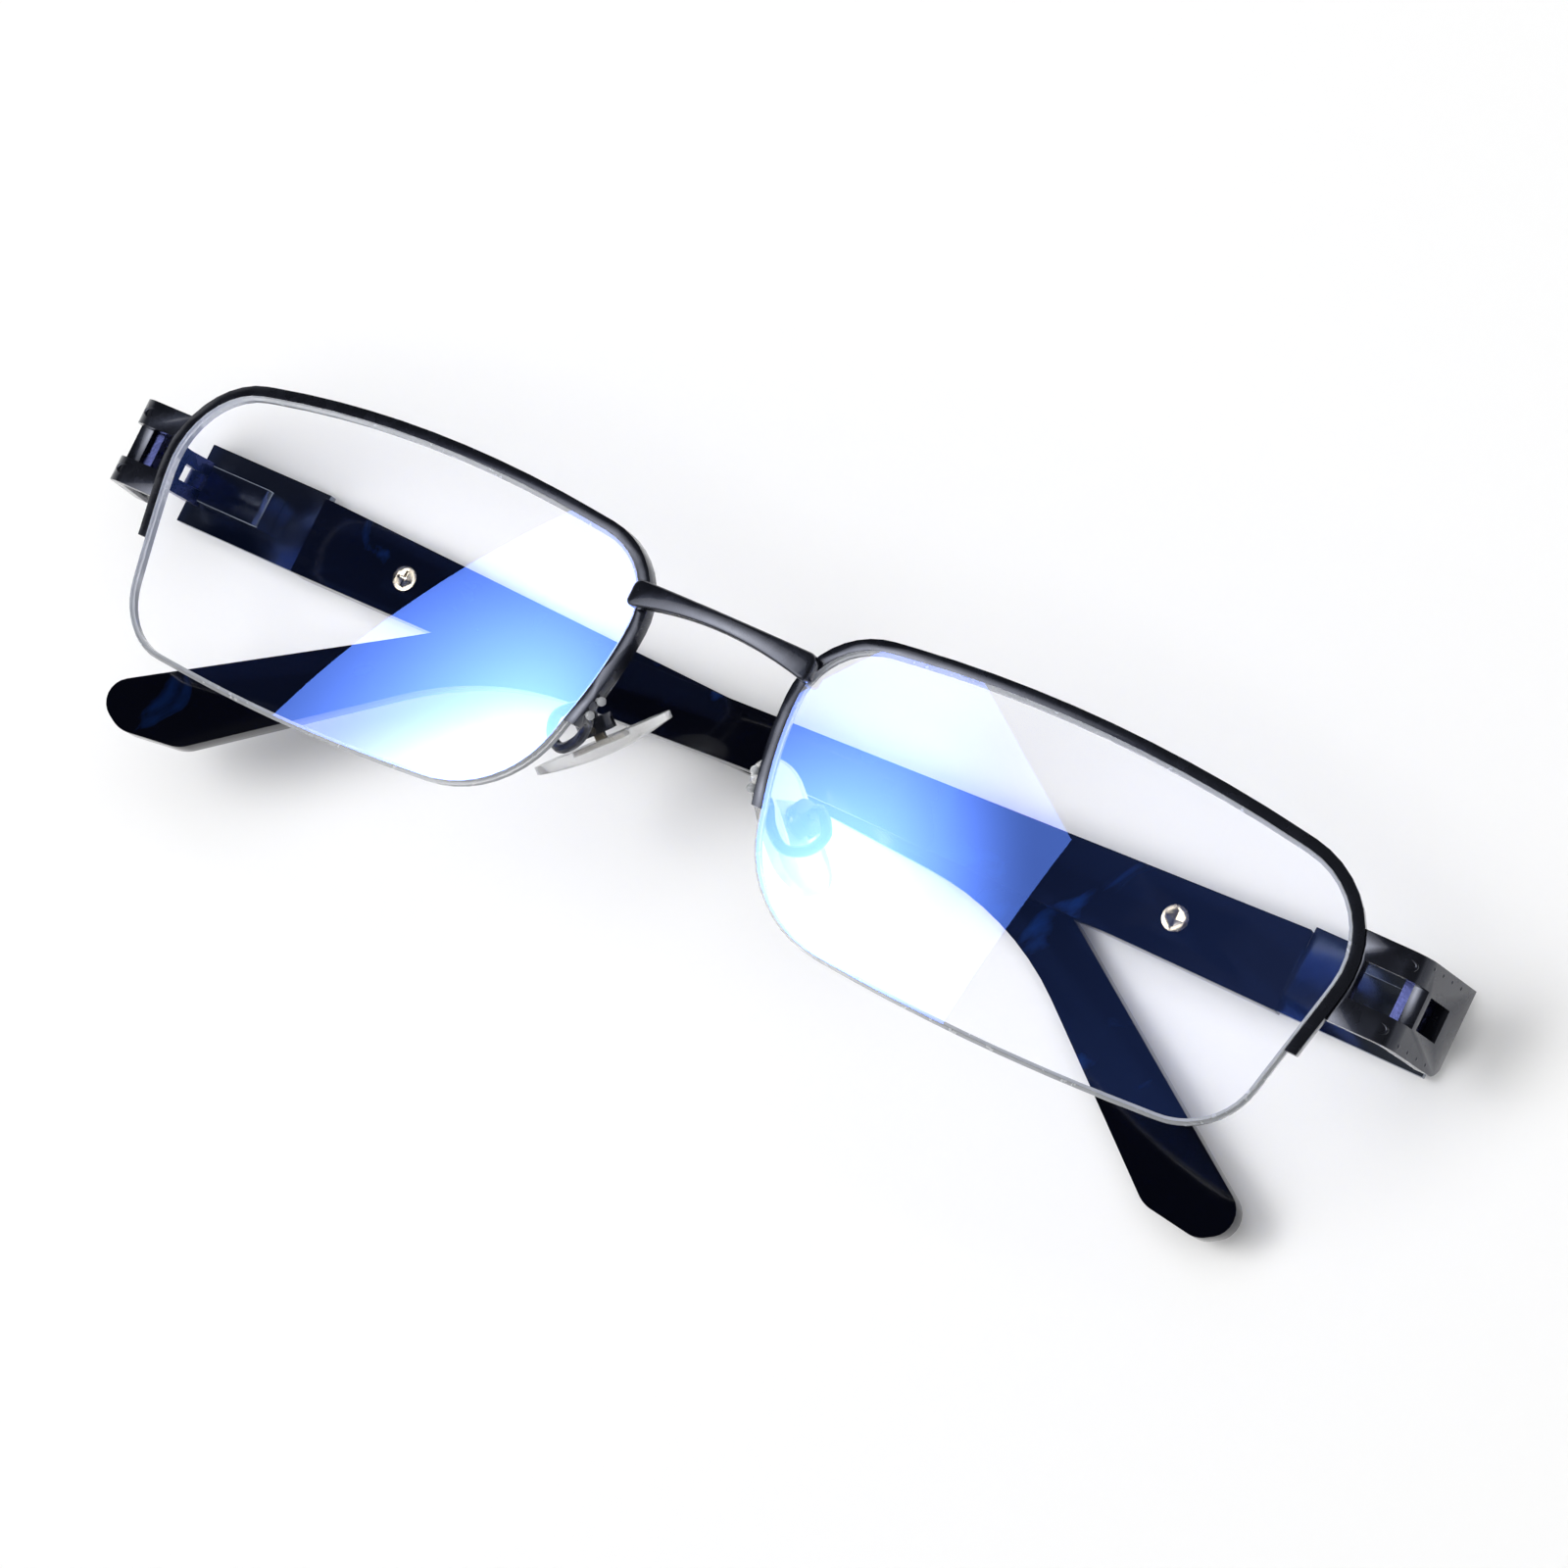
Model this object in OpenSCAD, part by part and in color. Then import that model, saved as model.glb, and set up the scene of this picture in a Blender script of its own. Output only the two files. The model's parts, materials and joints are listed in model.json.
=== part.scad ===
// Half-rim metal reading glasses with sprung temples, lying folded on a table.
// The lens fronts face +Z, +X is the wearer's left, +Y is the top of the frame.
// The wearer's left temple is folded first. The right temple lies under it, flat on the table.

/* [Lenses] */
// Distance from the middle of the glasses to the middle of each lens
lens_x = 35; // [34:0.5:38]
// Backward lean of each lens towards the temple, in degrees
lens_wrap = 7; // [5:0.5:9]
// Height of the lens above the lens centre line at the brow
brow_y = 14.5; // [13:0.1:17]
// Depth of the lens below the lens centre line
chin_y = 15; // [13:0.1:17]
// Radius of the front of the lens
front_r = 130; // [115:5:150]
// Radius of the back of the lens
back_r = 210; // [180:5:260]
// Thickness in the middle of the lens
lens_mid = 2.4; // [2.2:0.1:3]

/* [Rim] */
// Width of the metal rim seen from the front
rim_w = 1; // [0.9:0.05:1.3]
// Depth of the metal rim, front to back
rim_deep = 1.3; // [1.2:0.1:2.4]
// Level at which both ends of the rim stop
rim_end_y = -4.4; // [-6:0.1:-3]
// Thickness of the nylon line that holds the lens
line_d = 0.5; // [0.4:0.05:0.6]

/* [Bridge] */
// Level of the straight top edge of the bridge
bridge_top = 9.4; // [8.5:0.1:10.5]
// Height of the bridge in its middle
bridge_mid_h = 1.5; // [1.2:0.1:2.2]
// Height of the bridge at its ends
bridge_end_h = 2.5; // [2.2:0.1:3]
// Thickness of the bridge
bridge_t = 1.4; // [1.2:0.1:1.8]

/* [End pieces] */
// Half of the width over both end pieces
half_width = 68.4; // [67.5:0.1:70]
// Height of each end piece
end_h = 8.2; // [7.8:0.1:10]
// Thickness of the end piece's sheet
end_t = 1.2; // [1:0.1:1.4]
// Height of the window through the end piece
window_h = 3.4; // [3:0.1:4]

/* [Hinges] */
// Distance from the middle of the glasses to each hinge pin
pin_x = 65; // [64.5:0.1:65.5]
// Distance of the hinge pins behind the middle of the lens
pin_back = 19.5; // [19:0.1:20]
// Radius of the hinge knuckles
knuckle_r = 1.1; // [1:0.05:1.2]
// Radius of the hinge pin
pin_r = 0.45; // [0.4:0.05:0.5]
// Radial clearance round the hinge pin
pin_gap = 0.03; // [0.02:0.01:0.08]

/* [Temples] */
// Height of the metal temple plate
plate_h = 8; // [7.5:0.1:8.5]
// Thickness of the metal temple plate
plate_t = 1.1; // [1:0.05:1.2]
// Distance of the temple tip from the hinge pin
temple_len = 124.7; // [118:0.1:132]
// Thickness of the acetate arm behind the metal plate
arm_t = 3; // [2.8:0.1:3.2]
// Drop of the temple tip below the hinge's middle
tip_drop = 24.6; // [23:0.1:29]
// Upward lean of the left temple, which lies on the right one, in degrees
over_lean = 4.2; // [4:0.1:4.6]

/* [Nose pads] */
// Length of the nose pads
pad_l = 13; // [11:0.5:15]
// Width of the nose pads
pad_w = 7; // [6:0.5:8]
// Thickness of the nose pads
pad_t = 1.7; // [1.4:0.1:2]

/* [Hidden] */
$fn = 64;

METAL = "#1c2230";
PLATE = "#3d4452";
ACETATE = "#0c1022";
CLEAR = [0.9, 0.93, 0.95, 0.4];
SILICONE = "#dcdadb";
NICKEL = "#b9b3a8";

gap = 0.05;       // clearance between pieces that are fitted together
big = 200;        // longer than anything in the glasses
ball_fn = 360;    // smooth enough for the large lens spheres

// Corners of the lens outline, as [x, y, radius]. +x is away from the nose.
lens_corners = [
  [0, brow_y, 138], [-26.4, brow_y - 3, 6.8], [-26.1, 1, 36], [-22.3, 1.8 - chin_y, 11],
  [0, -chin_y, 180], [22.5, 1.5 - chin_y, 7], [25.7, 1, 80], [27.5, brow_y - 4.2, 8.2]];
edge_r = 160;     // sphere on which the middle of the lens edge lies
edge_top = -1.2;  // level of that sphere's top

hinge_y = 3.45;                          // middle of the hinge, the end piece and the temple plate
hinge_h = 4.3;                           // height of the hinge barrel
leaf_knuckle_h = 1.35;                   // height of each outer knuckle
mid_knuckle_h = hinge_h - 2 * leaf_knuckle_h - 2 * gap;
plate_in = 1.9;                          // from the pin to the inner face of the temple plate
arm_out = plate_in + plate_t + 0.9;      // from the pin to the outer face of the acetate arm
arm_in = arm_out - arm_t;
plate_end = 1.3;                         // the plate reaches this far past the pin
arm_start = 12.6;                        // the acetate starts this far behind the pin
tongue_end = 34;                         // the metal tongue ends this far behind the pin
tongue_h = 4.4;
screw_l = 23.8;                          // the arm screw's distance behind the pin

end_back = 17.6;                         // the end piece reaches this far behind the lens middle
bend_x = half_width - 1.85;              // outer corner of the end piece's bend
end_front_z = -6.2;                      // front of the end piece at the rim
rise = pin_back + arm_out;               // height of the lens middle above the table

// ---- outlines ----

function unit(v) = v / norm(v);

function half_angle(p, c, q) =
  acos(max(-1, min(1, unit([p[0] - c[0], p[1] - c[1]]) * unit([q[0] - c[0], q[1] - c[1]])))) / 2;
function side_len(p, q) = norm([p[0] - q[0], p[1] - q[1]]);

// One corner of a rounded outline: n + 1 points on an arc that starts t before the corner.
function corner_arc(p, c, q, t, n) =
  let (v = [c[0], c[1]], a = unit([p[0], p[1]] - v), b = unit([q[0], q[1]] - v))
  let (half = half_angle(p, c, q), r = t * tan(half), m = v + unit(a + b) * r / sin(half))
  let (s = v + a * t - m, e = v + b * t - m)
  let (a0 = atan2(s[1], s[0]), turn = atan2(s[0] * e[1] - s[1] * e[0], s * e))
  [for (k = [0:n]) m + r * [cos(a0 + turn * k / n), sin(a0 + turn * k / n)]];

// A closed outline with every corner rounded to its radius, or sharp where that is 0. Where two
// neighbouring rounds would run into each other, both are made smaller.
function rounded(cs, n = 8) =
  let (m = len(cs))
  let (t = [for (i = [0:m - 1]) cs[i][2] / tan(half_angle(cs[(i + m - 1) % m], cs[i], cs[(i + 1) % m]))])
  [for (i = [0:m - 1])
    let (p = cs[(i + m - 1) % m], c = cs[i], q = cs[(i + 1) % m])
    let (fit_p = 0.98 * side_len(p, c) / max(0.001, t[(i + m - 1) % m] + t[i]))
    let (fit_q = 0.98 * side_len(c, q) / max(0.001, t[(i + 1) % m] + t[i]))
    each c[2] == 0 ? [[c[0], c[1]]] : corner_arc(p, c, q, t[i] * min(1, fit_p, fit_q), n)];

lens_pts = rounded(lens_corners, 10);

// The outline moved outward by d, square to itself. Its points run anticlockwise.
function grown(pts, d) = [for (i = [0:len(pts) - 1])
  let (t = unit(pts[(i + 1) % len(pts)] - pts[(i + len(pts) - 1) % len(pts)]))
  pts[i] + d * [t[1], -t[0]]];

// A smooth path through all the points, with n steps from each point to the next
function smooth_path(pts, n) =
  let (m = len(pts) - 1)
  [for (i = [0:m - 1]) for (k = [0:i == m - 1 ? n : n - 1])
    let (t = k / n, a = pts[max(0, i - 1)], b = pts[i], c = pts[i + 1], d = pts[min(m, i + 2)])
    b + t * (c - a) / 2 + t * t * (a - 2.5 * b + 2 * c - d / 2) + t * t * t * (1.5 * (b - c) + (d - a) / 2)];

function run_of(path, i) = unit(path[min(len(path) - 1, i + 1)] - path[max(0, i - 1)]);
function across(v, t) = unit(v - (v * t) * t);

// For each point of a path, a direction square to the path that turns as little as it can
function sideways(path, i, v) = i == len(path) ? [] :
  let (w = across(v, run_of(path, i))) concat([w], sideways(path, i + 1, w));

// A round wire along a path, with flat ends
module tube(path, r, sides) {
  v = sideways(path, 0, [0.3, 0.5, 0.8]);
  last = len(path) - 1;
  polyhedron(
    points = [for (i = [0:last]) for (j = [0:sides - 1])
      let (a = 360 * j / sides) path[i] + r * (cos(a) * v[i] + sin(a) * cross(run_of(path, i), v[i]))],
    faces = concat(
      [[for (j = [0:sides - 1]) j]],
      [for (i = [0:last - 1]) for (j = [0:sides - 1])
        let (p = sides * i + j, q = sides * i + (j + 1) % sides) each [[p, q + sides, q], [p, p + sides, q + sides]]],
      [[for (j = [sides - 1:-1:0]) sides * last + j]]));
}

function lowest(pts) = min([for (p = pts) p[1]]);
function highest(pts) = max([for (p = pts) p[1]]);

// Level of the lens edge's middle at a point of the outline
function edge_z(p) = edge_top - (p[0] * p[0] + p[1] * p[1]) / (2 * edge_r);

// ---- placing ----

temple_corners = [
  [arm_start, 3.5, 0], [arm_start, -4.1, 0], [62, -3.7, 150], [temple_len - 33.2, -5.6, 28],
  [temple_len - 10.2, -tip_drop + 0.8, 3.2], [temple_len - 4.4, -tip_drop, 2.6],
  [temple_len, -tip_drop + 2.6, 2.2], [temple_len - 34, 0.3, 30], [68, 1.3, 150]];
temple_pts = rounded(temple_corners, 8);

rim_top_y = highest(grown(lens_pts, rim_w + gap));
tip_y = hinge_y + lowest(temple_pts);
middle_y = (rim_top_y + tip_y) / 2;

module in_row() { translate([0, -middle_y, rise]) children(); }
module both(side) { if (side < 0) mirror([1, 0, 0]) children(); else children(); }
module on_front(side) { in_row() both(side) children(); }
module on_lens(side) { on_front(side) translate([lens_x, 0, 0]) rotate([0, lens_wrap, 0]) children(); }

// The temple's own axes: x runs back from the pin, y is up and z is out from the wearer's head.
module on_temple(side) {
  on_front(side) translate([pin_x, hinge_y, -pin_back])
    rotate([0, side > 0 ? over_lean : 0, 0]) rotate([0, 180, 0]) children();
}

// The nose pad's own axes: y runs along the pad and z points to the nose.
pad_at = [9.8, -4.2, -8];
pad_turn = [0, -113, 44.6];
module on_pad(side) { on_front(side) translate(pad_at) rotate(pad_turn) children(); }

// ---- lens and rim shapes ----

module ball(r, top) { translate([0, 0, top - r]) rotate([90, 0, 0]) sphere(r = r, $fn = ball_fn); }

// A band along the lens outline, from d0 to d1 outside it and t deep.
module edge_band(d0, d1, t) {
  difference() {
    intersection() {
      translate([0, 0, -12]) linear_extrude(14) difference() {
        polygon(grown(lens_pts, d1));
        polygon(grown(lens_pts, d0));
      }
      ball(edge_r + t / 2, edge_top + t / 2);
    }
    ball(edge_r - t / 2, edge_top - t / 2);
  }
}

module above(y) { translate([-big / 2, y, -big / 2]) cube(big); }
module below(y) { translate([-big / 2, y - big, -big / 2]) cube(big); }

groove = line_d / 2;      // depth of the groove that the nylon sits in
liner_y = -1.1;           // both ends of the liner
hole_ys = [-1.6, -3.1];   // the two holes for the nylon at the nose side
bead_out = rim_w + 0.7;   // the nylon's end beads, measured out from the lens edge

// Nasal side of the lens outline at a level, where it is nearly straight.
function nasal_x(y) = -25.9 + (1 - y) * 3.8 / 14.2;

module nasal_holes(r, out) {
  for (y = hole_ys)
    translate([nasal_x(y) - out, y, edge_z([nasal_x(y), y])]) rotate([0, 90, 0]) cylinder(r = r, h = out);
}

module lens(side) {
  color(CLEAR) on_lens(side) difference() {
    intersection() {
      translate([0, 0, -12]) linear_extrude(14) polygon(lens_pts);
      ball(front_r, 0);
    }
    ball(back_r, -lens_mid);
    edge_band(-groove - gap, 1, line_d + 2 * gap);
  }
}

module rim(side) {
  color(METAL) on_lens(side) difference() {
    intersection() {
      edge_band(gap, rim_w + gap, rim_deep);
      above(rim_end_y);
    }
    edge_band(gap / 2, groove + 2 * gap, line_d + 2 * gap);
    nasal_holes(0.25, 3);
  }
}

module rim_liner(side) {
  color(CLEAR) on_lens(side) intersection() {
    edge_band(-groove, groove, line_d);
    above(liner_y);
  }
}

module nylon_line(side) {
  color(CLEAR) on_lens(side) {
    intersection() {
      edge_band(-groove, groove, line_d);
      below(liner_y - gap);
    }
    nasal_holes(0.2, bead_out);
    for (y = hole_ys)
      translate([nasal_x(y) - bead_out, y, edge_z([nasal_x(y), y])]) sphere(r = 0.42);
  }
}

// ---- bridge ----

bridge_half = 9.3;
bridge_r = 60;            // the bridge bows forward on this radius
bridge_front = 2.55;      // front of the bridge in its middle

module bridge() {
  color(METAL) in_row() intersection() {
    translate([0, 0, -10]) linear_extrude(20) difference() {
      polygon(rounded([
        [-bridge_half, bridge_top, 0.8], [-bridge_half, bridge_top - bridge_end_h, 0.5],
        [bridge_half, bridge_top - bridge_end_h, 0.5], [bridge_half, bridge_top, 0.8]]));
      translate([0, bridge_top - bridge_mid_h - 36]) circle(r = 36, $fn = 180);
    }
    translate([0, 0, bridge_front - bridge_r]) rotate([90, 0, 0]) difference() {
      cylinder(r = bridge_r, h = 40, center = true, $fn = 180);
      cylinder(r = bridge_r - bridge_t, h = 41, center = true, $fn = 180);
    }
  }
}

// ---- end pieces and hinge ----

inner_top_z = end_front_z - 0.7 - end_t;
inner_end_z = -end_back - 0.2;
// Inner face of the end piece's side at a level z, moved inward by d
function side_in_x(z, d = 0) =
  bend_x - end_t + (half_width - bend_x) * (inner_top_z - z) / (inner_top_z - inner_end_z) - d;

end_section = [
  [59.4, end_front_z, 0], [bend_x, end_front_z - 0.7, 2.2], [half_width, -end_back, 0.2],
  [half_width - end_t, inner_end_z, 0.2], [bend_x - end_t, inner_top_z, 1],
  [59.4, end_front_z - end_t, 0]];

// Extrudes an outline drawn in x and z along y, from y0 to y1.
module along_y(y0, y1) { translate([0, y1, 0]) rotate([90, 0, 0]) linear_extrude(y1 - y0) children(); }

module end_piece(side) {
  color(METAL) on_front(side) difference() {
    along_y(hinge_y - end_h / 2, hinge_y + end_h / 2) polygon(rounded(end_section));
    // the rim's own space
    translate([lens_x, 0, 0]) rotate([0, lens_wrap, 0])
      translate([0, 0, -15]) linear_extrude(30) polygon(grown(lens_pts, rim_w + gap + 0.02));
    // the window across the front and round the bend
    translate([61.8, hinge_y - window_h / 2, -9.4]) cube([20, window_h, 12]);
    // the slot in the side
    translate([64, hinge_y - window_h / 2 + 0.1, -14.4]) cube([10, window_h - 0.4, 4.2]);
    // the rounded lower corner at the back
    translate([60, hinge_y - end_h / 2, -end_back]) difference() {
      translate([0, -1, -1]) cube([20, 2.6, 2.6]);
      translate([-1, 1.6, 1.6]) rotate([0, 90, 0]) cylinder(r = 1.6, h = 30);
    }
  }
}

leaf_back = 16.8;          // the leaf's block ends this far behind the lens middle

module hinge_leaf(side) {
  color(METAL) on_front(side) difference() {
    union() {
      along_y(hinge_y - hinge_h / 2, hinge_y + hinge_h / 2) polygon([
        [side_in_x(-10, 0.02), -10], [side_in_x(-leaf_back, 0.02), -leaf_back],
        [side_in_x(-leaf_back, 1.7), -leaf_back], [side_in_x(-10, 1.1), -10]]);
      for (k = [-1, 1])
        translate([0, k * (hinge_h - leaf_knuckle_h) / 2, 0]) {
          along_y(hinge_y - leaf_knuckle_h / 2, hinge_y + leaf_knuckle_h / 2) polygon([
            [side_in_x(-leaf_back, 0.02), 0.2 - leaf_back], [pin_x + knuckle_r * 0.94, -pin_back - 0.3],
            [pin_x - knuckle_r * 0.85, -pin_back + 0.6], [side_in_x(-leaf_back, 1.6), 0.2 - leaf_back]]);
          translate([pin_x, hinge_y, -pin_back]) rotate([90, 0, 0])
            cylinder(r = knuckle_r, h = leaf_knuckle_h, center = true);
        }
    }
    translate([pin_x, hinge_y, -pin_back]) rotate([90, 0, 0]) {
      cylinder(r = pin_r + 0.01, h = 3 * hinge_h, center = true);
      // room for the screw's head at the top
      translate([0, 0, -hinge_h / 2 - 1]) cylinder(r = 0.8, h = 1.5);
      // room for the middle knuckle to turn
      cylinder(r = knuckle_r + 0.25, h = mid_knuckle_h + 2 * gap, center = true);
    }
  }
}

module hinge_screw(side) {
  color(NICKEL) on_front(side) translate([pin_x, hinge_y, -pin_back]) rotate([-90, 0, 0]) difference() {
    union() {
      translate([0, 0, -hinge_h / 2]) cylinder(r = pin_r, h = hinge_h - 0.4);
      translate([0, 0, hinge_h / 2 - 0.45]) cylinder(r = 0.75, h = 0.45);
    }
    translate([-1, -0.1, hinge_h / 2 - 0.2]) cube([2, 0.2, 1]);
  }
}

// ---- sprung hinge, in the temple's axes ----

housing_start = 1.45;
housing_end = 8.4;
housing_w = 3.7;
housing_in = -1.25;       // inner face of the housing, measured out from the pin
mouth_end = 3.1;          // the square guide for the insert ends here
shank = 1.4;              // side of the insert's square shank
shaft_r = 0.35;
chamber_start = 3.5;
chamber_end = 7.9;
chamber_r = 0.9;
collar_start = 7.05;
collar_t = 0.5;
spring_wire = 0.24;
spring_r = 0.62;

module hinge_insert(side) {
  color(NICKEL) on_temple(side) difference() {
    union() {
      rotate([90, 0, 0]) cylinder(r = knuckle_r, h = mid_knuckle_h, center = true);
      translate([0, -mid_knuckle_h / 2, -shank / 2]) cube([mouth_end - 0.3, mid_knuckle_h, shank]);
      rotate([0, 90, 0]) cylinder(r = shaft_r, h = collar_start + collar_t);
      translate([collar_start, 0, 0]) rotate([0, 90, 0]) cylinder(r = chamber_r - 0.08, h = collar_t);
    }
    rotate([90, 0, 0]) cylinder(r = pin_r + pin_gap, h = 5, center = true);
  }
}

module spring_housing(side) {
  slot_h = mid_knuckle_h + 2 * gap;
  slot_t = shank + 2 * gap;
  color(PLATE) on_temple(side) difference() {
    translate([0, housing_w / 2, 0]) rotate([90, 0, 0]) linear_extrude(housing_w) polygon([
      [housing_start, housing_in], [housing_end - 0.4, housing_in], [housing_end, housing_in + 0.4],
      [housing_end, plate_in], [housing_start, plate_in]]);
    translate([0, -slot_h / 2, -slot_t / 2]) cube([mouth_end, slot_h, slot_t]);
    rotate([0, 90, 0]) cylinder(r = shaft_r + gap, h = chamber_end - 1);
    translate([chamber_start, 0, 0]) rotate([0, 90, 0]) cylinder(r = chamber_r, h = chamber_end - chamber_start);
  }
}

spring_turns = 7;
spring_steps = 12;
spring_len = collar_start - chamber_start - 2 * gap - spring_wire;

module hinge_spring(side) {
  n = spring_turns * spring_steps;
  color(NICKEL) on_temple(side) translate([chamber_start + gap + spring_wire / 2, 0, 0]) tube(
    [for (i = [0:n]) [spring_len * i / n, spring_r * cos(360 * i / spring_steps), spring_r * sin(360 * i / spring_steps)]],
    spring_wire / 2, 6);
}

// ---- temples, in the temple's axes ----

arm_screw_r = 0.7;
arm_mid_y = -0.4;          // middle of the acetate arm, from the hinge's middle

module temple_plate(side) {
  color(PLATE) on_temple(side) translate([0, 0, plate_in]) difference() {
    union() {
      translate([-plate_end, -plate_h / 2, 0]) cube([plate_end + arm_start - 0.1, plate_h, plate_t]);
      translate([arm_start - 2, arm_mid_y - tongue_h / 2, 0]) cube([tongue_end - arm_start + 2, tongue_h, plate_t - 0.2]);
    }
    translate([screw_l, arm_mid_y, -1]) cylinder(r = arm_screw_r + gap, h = 4);
  }
}

// The arm's thickness along its length: flat outside, thinner behind, then curving in at the tip.
arm_band = [
  [arm_start - 5, arm_out, 0], [arm_start - 5, arm_in, 0], [30, arm_in, 60], [62, arm_in + 0.7, 60],
  [98, arm_in + 0.7, 50], [temple_len + 6, arm_in - 3.6, 0], [temple_len + 6, arm_out - 4.4, 0],
  [96, arm_out, 50]];

module temple_arm(side) {
  color(ACETATE) on_temple(side) difference() {
    intersection() {
      linear_extrude(30, center = true) polygon(temple_pts);
      translate([0, big / 2, 0]) rotate([90, 0, 0]) linear_extrude(big) polygon(rounded(arm_band));
    }
    translate([0, arm_mid_y - tongue_h / 2 - gap, plate_in - gap])
      cube([tongue_end + gap, tongue_h + 2 * gap, plate_t - 0.2 + 2 * gap]);
    translate([screw_l, arm_mid_y, arm_in - 1]) {
      cylinder(r = arm_screw_r + gap, h = 3.2);
      cylinder(r = 1.3, h = 1.5);
    }
  }
}

module arm_screw(side) {
  color(NICKEL) on_temple(side) translate([screw_l, arm_mid_y, arm_in]) difference() {
    union() {
      translate([0, 0, -0.1]) cylinder(r = 1.22, h = 0.55);
      cylinder(r = arm_screw_r, h = 2.1);
    }
    for (a = [0, 90]) rotate([0, 0, a]) translate([-0.75, -0.13, -0.2]) cube([1.5, 0.26, 0.4]);
  }
}

// ---- nose pads, in the pad's axes ----

wire_r = 0.5;
box_r = 1.7;
box_t = 1.4;
box_z = -2.35;            // back of the box, measured from the pad's middle
pivot_z = box_z + 0.95;
pad_back = -0.4;         // back of the silicone, measured from the pad's middle

pad_out = [cos(pad_turn[2]) * sin(pad_turn[1]), sin(pad_turn[2]) * sin(pad_turn[1]), cos(pad_turn[1])];
box_back = pad_at + (box_z - 0.06) * pad_out;

// The pad arm's wire leaves the back of the rim's nose side, loops down, back and up, and meets
// the back of the pad's box squarely.
arm_pts = [[9.3, -3.4, -0.86], [9.35, -3.6, -2.4], [10, -5.2, -3.5], [11.6, -6.4, -4.3], [13.4, -5.5, -5.2],
  [13.95, -3.6, -5.75], box_back - 1.2 * pad_out, box_back];

module pad_arm(side) { color(METAL) on_front(side) tube(smooth_path(arm_pts, 5), wire_r, 12); }

module pad_box(side) {
  color(METAL) on_pad(side) difference() {
    translate([0, 0, box_z]) cylinder(r = box_r, h = box_t);
    translate([-0.55, -3, box_z + 0.4]) cube([1.1, 6, 3]);
    translate([-3, 0, pivot_z]) rotate([0, 90, 0]) cylinder(r = 0.3, h = 6);
  }
}

module pad_screw(side) {
  color(NICKEL) on_pad(side) translate([0, 0, pivot_z]) rotate([0, 90, 0])
    cylinder(r = 0.28, h = 3, center = true);
}

module pad_insert(side) {
  color(NICKEL) on_pad(side) difference() {
    union() {
      translate([-0.5, -0.45, pivot_z]) cube([1, 0.9, -pivot_z]);
      translate([0, 0, pivot_z]) rotate([0, 90, 0]) cylinder(r = 0.5, h = 1, center = true);
      translate([-1.3, -2.4, -0.3]) cube([2.6, 4.8, 0.4]);
    }
    translate([0, 0, pivot_z]) rotate([0, 90, 0]) cylinder(r = 0.33, h = 3, center = true);
  }
}

module nose_pad(side) {
  dome = 26;
  color(SILICONE) on_pad(side) difference() {
    intersection() {
      translate([0, 0, -pad_t]) linear_extrude(3 * pad_t) polygon(rounded([
        [-pad_w / 2, -pad_l / 2, 3.2], [pad_w / 2, -pad_l / 2, 3.2],
        [pad_w / 2 - 0.6, pad_l / 2, 2.6], [0.6 - pad_w / 2, pad_l / 2, 2.6]]));
      translate([0, 0, 1.1 - dome]) sphere(r = dome, $fn = 180);
      translate([-big / 2, -big / 2, pad_back]) cube(big);
    }
    translate([-1.35, -2.45, -0.35]) cube([2.7, 4.9, 0.5]);
    translate([-0.55, -0.65, -2]) cube([1.1, 1.3, 2]);
  }
}

// ---- nodes ----

bridge();
rim(1);  // rim_left
lens(1);  // lens_left
rim_liner(1);  // rim_liner_left
nylon_line(1);  // nylon_line_left
end_piece(1);  // end_piece_left
hinge_leaf(1);  // hinge_leaf_left
hinge_screw(1);  // hinge_screw_left
pad_arm(1);  // pad_arm_left
pad_box(1);  // pad_box_left
pad_screw(1);  // pad_screw_left
pad_insert(1);  // pad_insert_left
nose_pad(1);  // nose_pad_left
hinge_insert(1);  // hinge_insert_left
hinge_spring(1);  // hinge_spring_left
spring_housing(1);  // spring_housing_left
temple_plate(1);  // temple_plate_left
temple_arm(1);  // temple_arm_left
arm_screw(1);  // arm_screw_left
rim(-1);  // rim_right
lens(-1);  // lens_right
rim_liner(-1);  // rim_liner_right
nylon_line(-1);  // nylon_line_right
end_piece(-1);  // end_piece_right
hinge_leaf(-1);  // hinge_leaf_right
hinge_screw(-1);  // hinge_screw_right
pad_arm(-1);  // pad_arm_right
pad_box(-1);  // pad_box_right
pad_screw(-1);  // pad_screw_right
pad_insert(-1);  // pad_insert_right
nose_pad(-1);  // nose_pad_right
hinge_insert(-1);  // hinge_insert_right
hinge_spring(-1);  // hinge_spring_right
spring_housing(-1);  // spring_housing_right
temple_plate(-1);  // temple_plate_right
temple_arm(-1);  // temple_arm_right
arm_screw(-1);  // arm_screw_right
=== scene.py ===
# %% [markdown]
# # Half-rim reading glasses, folded on a table
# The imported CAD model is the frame: every real size and every joint comes from it. The cells below
# give it a camera, a studio, finishes, and the small shapes that a solid model leaves out.

# %% Load the frame and keep its box
import bpy
import bmesh
import json
import math
import numpy as np
from mathutils import Matrix, Vector

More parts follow.
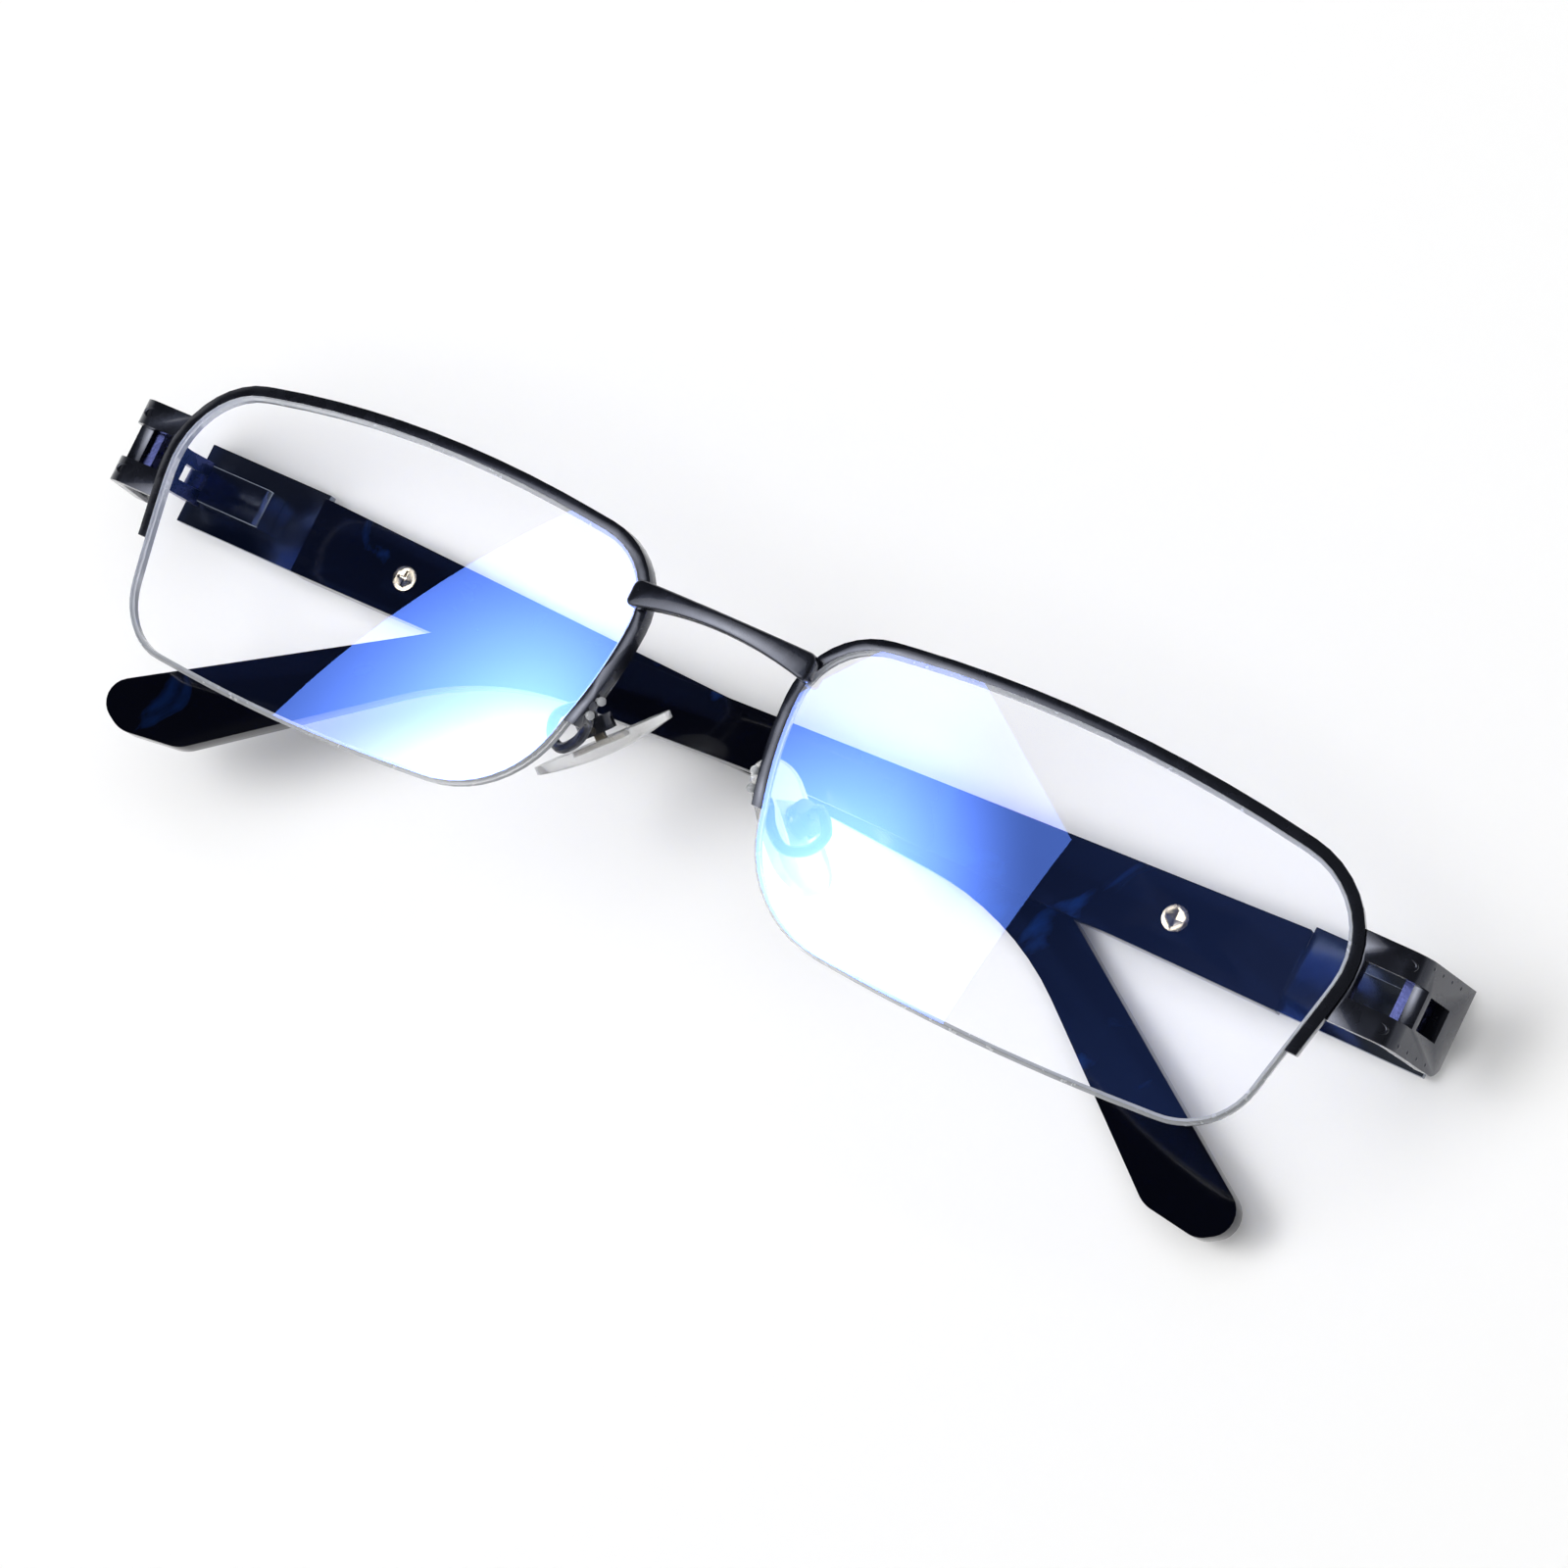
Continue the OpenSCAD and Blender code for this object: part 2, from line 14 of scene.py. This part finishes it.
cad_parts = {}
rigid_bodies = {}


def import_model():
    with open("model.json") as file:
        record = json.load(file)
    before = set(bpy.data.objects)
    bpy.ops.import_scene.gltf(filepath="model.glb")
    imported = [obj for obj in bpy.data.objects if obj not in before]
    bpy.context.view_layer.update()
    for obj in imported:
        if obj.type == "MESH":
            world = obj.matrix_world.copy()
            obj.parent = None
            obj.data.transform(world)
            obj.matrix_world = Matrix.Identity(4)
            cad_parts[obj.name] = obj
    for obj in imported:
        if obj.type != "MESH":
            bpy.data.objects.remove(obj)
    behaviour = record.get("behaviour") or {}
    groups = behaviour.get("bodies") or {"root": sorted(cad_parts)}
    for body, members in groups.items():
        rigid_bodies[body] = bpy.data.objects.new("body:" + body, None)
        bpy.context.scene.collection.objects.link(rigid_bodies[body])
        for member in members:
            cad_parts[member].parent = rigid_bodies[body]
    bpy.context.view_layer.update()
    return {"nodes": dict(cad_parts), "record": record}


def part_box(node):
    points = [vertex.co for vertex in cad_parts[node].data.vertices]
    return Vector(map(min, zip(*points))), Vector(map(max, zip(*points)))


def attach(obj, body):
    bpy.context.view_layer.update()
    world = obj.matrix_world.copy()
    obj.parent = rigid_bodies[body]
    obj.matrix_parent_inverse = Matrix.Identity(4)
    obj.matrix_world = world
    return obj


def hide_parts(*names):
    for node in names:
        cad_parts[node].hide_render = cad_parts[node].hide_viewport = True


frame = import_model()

MM = 0.001
SIDES = {"left": 1, "right": -1}

# %% [markdown]
# ## Camera
# The glasses are seen from high above their front with a long lens, and the camera is rolled so
# that they lie across the picture from the upper left to the lower right.

# %% Camera
aim = Vector((0.00839, 0.00216, 0.0177))
to_camera = Vector((0.393, -0.074, 0.917)).normalized()
picture_up = Vector((-0.375, 0.897, 0.233))
distance = 0.4515

look = -to_camera
right = look.cross(picture_up).normalized()
up = right.cross(look).normalized()
camera_data = bpy.data.cameras.new("camera")
camera_data.sensor_width = 36
camera_data.lens = 120.5
camera_data.clip_start = 0.01
camera = bpy.data.objects.new("camera", camera_data)
camera.matrix_world = Matrix.Translation(aim + to_camera * distance) @ Matrix(
    (right, up, to_camera)).transposed().to_4x4()
bpy.context.scene.collection.objects.link(camera)
bpy.context.scene.camera = camera

# %% [markdown]
# ## Colour and node helpers
# Paint charts give colours as sRGB hex values, and a shader wants linear light, so one function
# turns the first into the second. Another adds a node with its settings and links, and a third
# gives a finish its surface: nothing that was polished or moulded is perfectly even.

# %% Helpers for materials
def colour(code):
    parts = [int(code[i:i + 2], 16) / 255 for i in (1, 3, 5)]
    return [c / 12.92 if c <= 0.04045 else ((c + 0.055) / 1.055) ** 2.4 for c in parts] + [1.0]


def add(tree, kind, settings=None, **inputs):
    """Adds a node. An input is a value, or another node's output to link from."""
    node = tree.nodes.new(kind)
    for name, value in (settings or {}).items():
        setattr(node, name, value)
    for name, value in inputs.items():
        socket = node.inputs[int(name[1:])] if name[0] == "_" else node.inputs[name.replace("_", " ")]
        if isinstance(value, bpy.types.NodeSocket):
            tree.links.new(value, socket)
        else:
            socket.default_value = value
    return node


def new_material(name, **values):
    material = bpy.data.materials.new(name)
    material.use_nodes = True
    tree = material.node_tree
    shader = tree.nodes["Principled BSDF"]
    for key, value in values.items():
        shader.inputs[key.replace("_", " ")].default_value = value
    return material, tree, shader


def grain(tree, shader, patch, rough, fine, depth):
    """Soft patches of gloss, patch across, and a relief with bumps fine across and depth high."""
    place = add(tree, "ShaderNodeTexCoord").outputs["Object"]
    clouds = add(tree, "ShaderNodeTexNoise", Vector=place, Scale=1 / patch, Detail=3.0)
    level = add(tree, "ShaderNodeMapRange", Value=clouds.outputs["Fac"], From_Min=0.3, From_Max=0.7,
                To_Min=rough[0], To_Max=rough[1])
    tree.links.new(level.outputs["Result"], shader.inputs["Roughness"])
    relief = add(tree, "ShaderNodeTexNoise", Vector=place, Scale=1 / fine, Detail=3.0)
    bump = add(tree, "ShaderNodeBump", Height=relief.outputs["Fac"], Strength=0.4, Distance=depth)
    tree.links.new(bump.outputs["Normal"], shader.inputs["Normal"])


# %% [markdown]
# ## Finishes
# The front is a nickel alloy under a hard dark coating: dark, smooth, with a clear gloss on top.
# The temple plates carry a thinner gunmetal plating, so they mirror the room in blue grey.

# %% Coated metals
front_metal, tree, shader = new_material(
    "dark navy coated nickel alloy", Base_Color=colour("#282b36"), Metallic=0.85, IOR=1.5,
    Coat_Weight=0.5, Coat_Roughness=0.05)
grain(tree, shader, 2 * MM, (0.2, 0.32), 0.5 * MM, 0.01 * MM)

plate_metal, tree, shader = new_material(
    "gunmetal plated spring steel", Base_Color=colour("#7d8696"), Metallic=1.0)
grain(tree, shader, 3 * MM, (0.16, 0.26), 0.8 * MM, 0.01 * MM)

hinge_metal, tree, shader = new_material(
    "heat blued nickel silver", Base_Color=colour("#3a3f66"), Metallic=1.0)
grain(tree, shader, 0.6 * MM, (0.15, 0.4), 0.3 * MM, 0.03 * MM)

screw_metal, tree, shader = new_material(
    "nickel plated screw steel", Base_Color=colour("#a89f8e"), Metallic=1.0)
grain(tree, shader, 0.5 * MM, (0.12, 0.3), 0.2 * MM, 0.01 * MM)

# %% [markdown]
# The arms are cellulose acetate, cut from sheet in which navy and bright blue were kneaded
# together, then tumbled to a wet gloss. A warped noise gives the few bright blue clouds.

# %% Acetate
acetate, tree, shader = new_material(
    "polished navy cellulose acetate", IOR=1.46, Roughness=0.08, Specular_IOR_Level=0.35)
cloud = add(tree, "ShaderNodeTexNoise", Vector=add(tree, "ShaderNodeTexCoord").outputs["Object"],
            Scale=1 / (11 * MM), Detail=5.0, Distortion=1.6).outputs["Fac"]
ramp = add(tree, "ShaderNodeValToRGB", Fac=cloud)
ramp.color_ramp.elements[0].color = colour("#0a0c16")
ramp.color_ramp.elements[0].position = 0.62
ramp.color_ramp.elements[1].color = colour("#1a3f86")
ramp.color_ramp.elements[1].position = 0.8
tree.links.new(ramp.outputs["Color"], shader.inputs["Base Color"])

# %% [markdown]
# Silicone and nylon are clear but not bright: light scatters a little inside them, so both look
# pale grey on a white table.

# %% Silicone and nylon
silicone, tree, shader = new_material(
    "clear silicone", Base_Color=colour("#f4f4f3"), IOR=1.41, Transmission_Weight=0.75)
grain(tree, shader, 1.5 * MM, (0.1, 0.25), 1.0 * MM, 0.01 * MM)

nylon, tree, shader = new_material(
    "clear nylon", Base_Color=colour("#b4b7bb"), IOR=1.53, Transmission_Weight=0.4)
grain(tree, shader, 1 * MM, (0.15, 0.3), 0.5 * MM, 0.01 * MM)

edge_clear, tree, shader = new_material(
    "polished lens edge", Base_Color=colour("#c3c6cc"), IOR=1.56, Transmission_Weight=0.35)
grain(tree, shader, 0.8 * MM, (0.1, 0.3), 0.5 * MM, 0.01 * MM)

# %% [markdown]
# A lens this thin bends the view behind it by less than its own thickness, so it is drawn as a
# clear pane that adds a reflection. The coating is tuned to throw back blue light, and throws
# back a little more of it at a slant.

# %% Coated lens
lens_clear = bpy.data.materials.new("blue coated lens plastic")
lens_clear.use_nodes = True
tree = lens_clear.node_tree
tree.nodes.clear()
facing = add(tree, "ShaderNodeLayerWeight", Blend=0.35).outputs["Facing"]
inside = add(tree, "ShaderNodeNewGeometry").outputs["Backfacing"]
share = add(tree, "ShaderNodeMapRange", Value=facing, From_Min=0.0, From_Max=1.0,
            To_Min=0.34, To_Max=0.8)
in_front = add(tree, "ShaderNodeMath", {"operation": "SUBTRACT"}, _0=1.0, _1=inside)
front_share = add(tree, "ShaderNodeMath", {"operation": "MULTIPLY"}, _0=share.outputs[0],
                  _1=in_front.outputs[0])
tint = add(tree, "ShaderNodeMix", {"data_type": "RGBA"})
tree.links.new(front_share.outputs[0], tint.inputs["Factor"])
tint.inputs[6].default_value = (0, 0, 0, 1)
tint.inputs[7].default_value = (0.13, 0.27, 1.0, 1)
mirror = add(tree, "ShaderNodeBsdfGlossy", Color=tint.outputs[2], Roughness=0.0)
clear = add(tree, "ShaderNodeBsdfTransparent", Color=(1, 1, 1, 1))
both = add(tree, "ShaderNodeAddShader", _0=clear.outputs[0], _1=mirror.outputs[0])
add(tree, "ShaderNodeOutputMaterial", Surface=both.outputs[0])

# %% [markdown]
# ## Pieces
# The CAD solids have the right sizes but knife edges. Each visible one is copied, welded, given
# the small rounds that tumbling and coating leave, and shown in place of its solid.

# %% Helpers for pieces
body_of_node = {n: body for body, nodes in frame["record"]["behaviour"]["bodies"].items() for n in nodes}
SHARP = math.radians(28)     # a sharper fold than this is an edge
WELD = 0.001 * MM


def welded(node):
    """A welded bmesh copy of a CAD node, with its flat faces made whole."""
    bm = bmesh.new()
    bm.from_mesh(frame["nodes"][node].data)
    bmesh.ops.remove_doubles(bm, verts=bm.verts, dist=WELD)
    bmesh.ops.dissolve_limit(bm, angle_limit=math.radians(1), use_dissolve_boundaries=False,
                             verts=bm.verts, edges=bm.edges)
    return bm


def is_sharp(edge):
    return len(edge.link_faces) == 2 and edge.calc_face_angle(0) > SHARP


def round_edges(bm, width, segments):
    bmesh.ops.bevel(bm, geom=[e for e in bm.edges if is_sharp(e)], offset=width,
                    offset_type="OFFSET", segments=segments, affect="EDGES", profile=0.5,
                    material=-1, clamp_overlap=True)


def make_piece(bm, name, node, finish, replace=True):
    """Turns a bmesh into a named piece that rides with a CAD node and may stand for it."""
    for face in bm.faces:
        face.smooth = True
    for edge in bm.edges:
        edge.smooth = not is_sharp(edge)
    mesh = bpy.data.meshes.new(name)
    bm.to_mesh(mesh)
    bm.free()
    mesh.materials.append(finish)
    piece = bpy.data.objects.new(name, mesh)
    bpy.context.scene.collection.objects.link(piece)
    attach(piece, body_of_node[node])
    if replace:
        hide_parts(node)
    print(f"{name}: {len(mesh.polygons)} faces")


# %% Rounded copies of the metal and plastic pieces
ROUNDED = {  # kind: (finish, width of the rounds in mm, segments)
    "rim": (front_metal, 0.16, 2), "end_piece": (front_metal, 0.14, 2),
    "hinge_leaf": (hinge_metal, 0.07, 1), "pad_arm": (front_metal, 0, 0),
    "pad_box": (front_metal, 0.12, 2), "temple_plate": (plate_metal, 0.1, 2),
    "spring_housing": (plate_metal, 0.18, 3), "temple_arm": (acetate, 0.6, 4),
    "arm_screw": (screw_metal, 0.06, 2), "hinge_insert": (hinge_metal, 0.05, 1),
    "nose_pad": (silicone, 0.35, 3), "pad_insert": (screw_metal, 0.06, 1),
    "nylon_line": (nylon, 0, 0), "rim_liner": (nylon, 0, 0)}


def rounded_copy(node, kind):
    finish, width, segments = ROUNDED[kind]
    bm = welded(node)
    if width:
        round_edges(bm, width * MM, segments)
    make_piece(bm, node + "_finished", node, finish)


for side in SIDES:
    for kind in ROUNDED:
        rounded_copy(f"{kind}_{side}", kind)
ROUNDED["bridge"] = (front_metal, 0.3, 3)
rounded_copy("bridge", "bridge")

# %% [markdown]
# The hinge and pad screws and the springs are hardly seen, so the solids themselves are shown, in
# the metal of the other screws.

# %% Finishes of the solids that stay as they are
for name, node in frame["nodes"].items():
    if name.startswith(("hinge_screw", "pad_screw", "hinge_spring", "lens")):
        for slot in node.material_slots:
            slot.material = screw_metal

# %% [markdown]
# ## Embossing of the end pieces
# The end pieces are stamped from sheet with a row of small raised rings on both bars and a row of
# dots down each edge of the side. A ring is a small circle spun about the bar's normal, and a dot
# is a flattened ball.

# %% Embossing
RING_R, RING_WIRE, DOT_R = 0.62 * MM, 0.13 * MM, 0.22 * MM
BEND_IN, BEND_BACK = 1.85 * MM, 0.7 * MM      # the bend, inside the outer end and below the front
BAR_LENGTH, SIDE_LENGTH = 7.15 * MM, 10.7 * MM
RINGS_IN = (3.3 * MM, 5.0 * MM)               # the rings, inside the outer end
FIRST_DOT, DOT_STEP, DOTS = 1.6 * MM, 2.0 * MM, 4
RING_LEVEL, DOT_LEVEL = 0.7, 0.86             # shares of half the end piece's height
OVAL = Matrix.Diagonal((1.25, 0.75, 1, 1))
FLAT = Matrix.Diagonal((1, 1, 0.55, 1))


def add_ring(bm, spot):
    made = bmesh.ops.create_circle(bm, segments=8, radius=RING_WIRE)["verts"]
    bmesh.ops.rotate(bm, verts=made, matrix=Matrix.Rotation(math.pi / 2, 3, "X"))
    bmesh.ops.translate(bm, verts=made, vec=(RING_R, 0, 0))
    edges = list({e for v in made for e in v.link_edges})
    bmesh.ops.spin(bm, geom=made + edges, cent=(0, 0, 0), axis=(0, 0, 1), dvec=(0, 0, 0),
                   angle=math.tau, steps=24, use_merge=True)
    ring = [v for v in bm.verts if not v.tag]
    bmesh.ops.transform(bm, verts=ring, matrix=spot @ OVAL)
    for v in ring:
        v.tag = True


def add_dot(bm, spot):
    bmesh.ops.create_uvsphere(bm, u_segments=12, v_segments=6, radius=DOT_R)
    dot = [v for v in bm.verts if not v.tag]
    bmesh.ops.transform(bm, verts=dot, matrix=spot @ FLAT)
    for v in dot:
        v.tag = True


def emboss(side):
    node, way = f"end_piece_{side}", SIDES[side]
    low, high = (Vector(c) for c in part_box(node))
    outer = high.x if way > 0 else low.x
    mid_y, half_h = (low.y + high.y) / 2, (high.y - low.y) / 2
    bar_lean = Matrix.Rotation(way * math.radians(5.6), 4, "Y")
    side_turn = Matrix.Rotation(way * math.radians(80), 4, "Y")
    bm = bmesh.new()
    for up in (-1, 1):
        for inward in RINGS_IN:
            z = high.z - BEND_BACK * (BAR_LENGTH + BEND_IN - inward) / BAR_LENGTH
            place = (outer - way * inward, mid_y + up * RING_LEVEL * half_h, z)
            add_ring(bm, Matrix.Translation(place) @ bar_lean)
        for k in range(DOTS):
            down = FIRST_DOT + k * DOT_STEP
            x = outer - way * BEND_IN * (1 - down / SIDE_LENGTH)
            place = (x, mid_y + up * DOT_LEVEL * half_h, high.z - BEND_BACK - down)
            add_dot(bm, Matrix.Translation(place) @ side_turn)
    bmesh.ops.recalc_face_normals(bm, faces=bm.faces)
    make_piece(bm, node + "_embossing", node, front_metal, replace=False)


for side in SIDES:
    emboss(side)

# %% [markdown]
# ## Lenses
# A lens must reflect like a ball, and a few thousand flat triangles would break the reflection
# into shards. The front and back are fitted with a ball each, and every corner of a face is told
# to shade as that ball does.

# %% Lenses
def fitted_ball(points):
    """Centre and radius of the ball that passes nearest the points."""
    rows = np.array([[2 * p.x, 2 * p.y, 2 * p.z, 1] for p in points])
    right_side = np.array([p.length_squared for p in points])
    x, y, z, k = np.linalg.lstsq(rows, right_side, rcond=None)[0]
    return Vector((x, y, z)), math.sqrt(k + x * x + y * y + z * z)


SURFACE_SAMPLE = 200         # how many of a lens surface's largest faces its ball is fitted to
ON_BALL = 0.02 * MM
EDGE, FRONT, BACK = range(3)


def make_lens(side):
    node = f"lens_{side}"
    bm = bmesh.new()
    bm.from_mesh(frame["nodes"][node].data)
    bmesh.ops.remove_doubles(bm, verts=bm.verts, dist=WELD)
    front = [f for f in bm.faces if f.normal.z > 0.9]
    back = [f for f in bm.faces if f.normal.z < -0.9]
    largest = [sorted(faces, key=lambda f: -f.calc_area())[:SURFACE_SAMPLE] for faces in (front, back)]
    (centre, radius), (back_centre, back_radius) = (
        fitted_ball([v.co for f in faces for v in f.verts]) for faces in largest)
    print(f"{node}: front ball {radius / MM:.1f} mm, back ball {back_radius / MM:.1f} mm")
    kinds = []
    for face in bm.faces:
        face.smooth = True
        on_front = all(abs((v.co - centre).length - radius) < ON_BALL for v in face.verts)
        on_back = all(abs((v.co - back_centre).length - back_radius) < ON_BALL for v in face.verts)
        kind = EDGE
        if on_front and face.normal.z > 0.5:
            kind = FRONT
        elif on_back and face.normal.z < -0.5:
            kind = BACK
        kinds.append(kind)
        face.material_index = 1 if kind == EDGE else 0
    mesh = bpy.data.meshes.new(node + "_finished")
    bm.to_mesh(mesh)
    bm.free()
    mesh.materials.append(lens_clear)
    mesh.materials.append(edge_clear)
    normals = []
    for poly, kind in zip(mesh.polygons, kinds):
        for i in poly.vertices:
            place = mesh.vertices[i].co
            if kind == FRONT:
                normals.append((place - centre).normalized())
            elif kind == BACK:
                normals.append((back_centre - place).normalized())
            else:
                normals.append(poly.normal.copy())
    mesh.normals_split_custom_set(normals)
    piece = bpy.data.objects.new(node + "_finished", mesh)
    bpy.context.scene.collection.objects.link(piece)
    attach(piece, body_of_node[node])
    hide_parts(node)


for side in SIDES:
    make_lens(side)

# %% [markdown]
# ## Studio
# One tall soft box leans over the glasses from the left. It is the bright shape that the lens
# coating throws back, and its upper corner shows in the lens on the right. Its middle is brightest,
# where the flash behind the cloth is nearest.

# %% Floor
FLOOR_HALF = 4.0
bm = bmesh.new()
bmesh.ops.create_grid(bm, x_segments=1, y_segments=1, size=FLOOR_HALF)
floor_mesh = bpy.data.meshes.new("floor")
bm.to_mesh(floor_mesh)
bm.free()
floor = bpy.data.objects.new("floor", floor_mesh)
bpy.context.scene.collection.objects.link(floor)
floor_paint, tree, shader = new_material("matt white card", Base_Color=colour("#f0f0f0"), Roughness=0.9)
floor_mesh.materials.append(floor_paint)

# %% Soft box
CLOTH_EDGE, CLOTH_MIDDLE = 1.3, 13.0           # brightness
box_u = Vector((0.763, -0.492, 0.419)).normalized()
box_v = Vector((0.045, 0.687, 0.725))          # roughly up the box, then squared to its width
box_v = (box_v - box_v.dot(box_u) * box_u).normalized()
box_n = box_u.cross(box_v)
box_w, box_h = 0.539, 1.177
box_mid = Vector((-0.328, -0.006, 0.861)) + box_u * 0.024 + box_v * (0.518 - box_h / 2)
bm = bmesh.new()
bmesh.ops.create_grid(bm, x_segments=1, y_segments=1, size=0.5)
bmesh.ops.scale(bm, vec=(box_w, box_h, 1), verts=bm.verts)
box_mesh = bpy.data.meshes.new("soft box")
bm.to_mesh(box_mesh)
bm.free()
soft_box = bpy.data.objects.new("soft_box", box_mesh)
soft_box.matrix_world = Matrix.Translation(box_mid) @ Matrix((box_u, box_v, box_n)).transposed().to_4x4()
soft_box.visible_camera = False
bpy.context.scene.collection.objects.link(soft_box)
glow = bpy.data.materials.new("soft box cloth")
glow.use_nodes = True
tree = glow.node_tree
tree.nodes.clear()
spot = add(tree, "ShaderNodeMapping", {"vector_type": "POINT"}, Scale=(2.6, 1.7, 1.0),
           Vector=add(tree, "ShaderNodeTexCoord").outputs["Object"])
hot = add(tree, "ShaderNodeTexGradient", {"gradient_type": "QUADRATIC_SPHERE"}, Vector=spot.outputs[0])
level = add(tree, "ShaderNodeMapRange", Value=hot.outputs["Fac"], To_Min=CLOTH_EDGE,
            To_Max=CLOTH_MIDDLE)
lamp = add(tree, "ShaderNodeEmission", Color=(1, 1, 1, 1), Strength=level.outputs[0])
add(tree, "ShaderNodeOutputMaterial", Surface=lamp.outputs[0])
box_mesh.materials.append(glow)

# %% [markdown]
# The soft box isn't let onto the temples, which it would turn from near black to grey. In a studio
# black flags would do this. Here the box's own list of what it may not light does it.

# %% Temples kept out of the soft box's light
shaded = bpy.data.collections.new("shaded by the flags")
soft_box.light_linking.receiver_collection = shaded
for piece in bpy.data.objects:
    if piece.name.startswith(("temple_", "spring_housing")):
        shaded.objects.link(piece)
for member in shaded.collection_objects:
    member.light_linking.link_state = "EXCLUDE"

# %% [markdown]
# The room's low walls are pale and its ceiling is dim, more so on the left, so that the lenses
# stay clear where the soft box isn't mirrored. A wide lamp that shows in no reflection lights the
# table evenly.

# %% Room and table lamp
world = bpy.data.worlds.new("studio")
bpy.context.scene.world = world
world.use_nodes = True
tree = world.node_tree
direction = add(tree, "ShaderNodeTexCoord").outputs["Generated"]
parts = add(tree, "ShaderNodeSeparateXYZ", Vector=direction)
low_walls = add(tree, "ShaderNodeMapRange", {"interpolation_type": "SMOOTHSTEP"}, Value=parts.outputs["Z"],
                From_Min=0.1, From_Max=0.5, To_Min=0.9, To_Max=0.0)
ceiling = add(tree, "ShaderNodeMapRange", {"interpolation_type": "SMOOTHSTEP"}, Value=parts.outputs["X"],
              From_Min=-0.45, From_Max=0.25, To_Min=0.02, To_Max=0.12)
glow_level = add(tree, "ShaderNodeMath", {"operation": "MAXIMUM"}, _0=low_walls.outputs[0],
                 _1=ceiling.outputs[0])
tree.nodes["Background"].inputs["Color"].default_value = (1, 1, 1, 1)
tree.links.new(glow_level.outputs[0], tree.nodes["Background"].inputs["Strength"])

lamp_data = bpy.data.lights.new("table lamp", "AREA")
lamp_data.shape = "SQUARE"
lamp_data.size = 1.6
lamp_data.energy = 14
table_lamp = bpy.data.objects.new("table_lamp", lamp_data)
table_lamp.location = (0.1, 0.1, 1.3)
table_lamp.visible_glossy = False
table_lamp.visible_camera = False
bpy.context.scene.collection.objects.link(table_lamp)
bpy.context.scene.view_settings.view_transform = "Standard"
